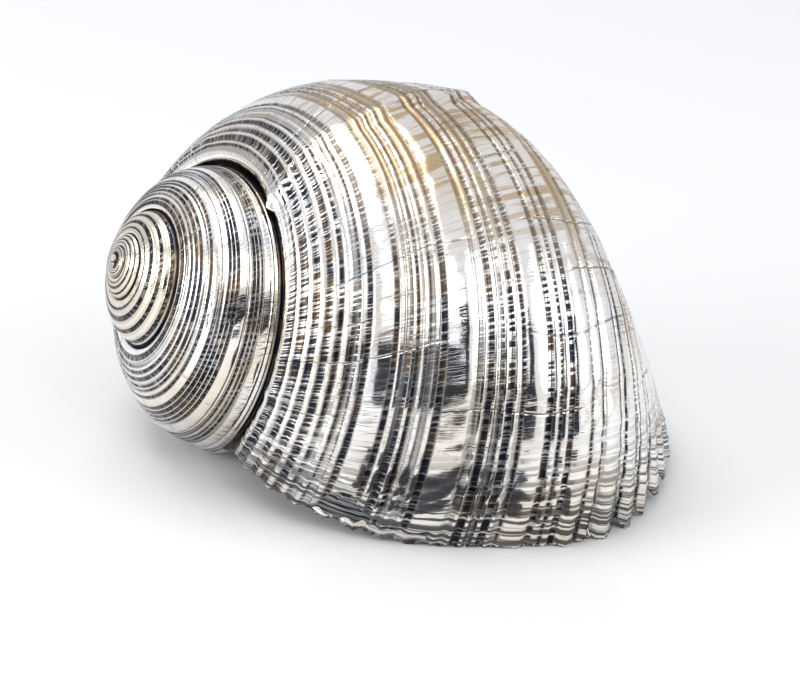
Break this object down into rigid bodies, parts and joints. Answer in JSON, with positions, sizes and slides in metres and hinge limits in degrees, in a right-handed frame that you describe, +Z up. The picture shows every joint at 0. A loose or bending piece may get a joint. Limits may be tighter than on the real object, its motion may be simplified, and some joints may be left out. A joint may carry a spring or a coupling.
{
  "type": "turban shell",
  "caption": "Large silvered sea snail shell, coiled to the right, lying on its wide mouth.",
  "frame": {"origin": "centre of the footprint box, on the surface the shell lies on", "axes": "+Z up; the shell lies mouth down, its longest extent along X, with the apex towards -X and the base towards +X"},
  "size_m": [0.161, 0.1244, 0.1049],
  "materials": {
    "silvered_shell": "polished silver skin with dark tarnish in the grooves"
  },
  "bodies": {
    "root": {"shell": "silvered_shell"}
  },
  "joints": []
}
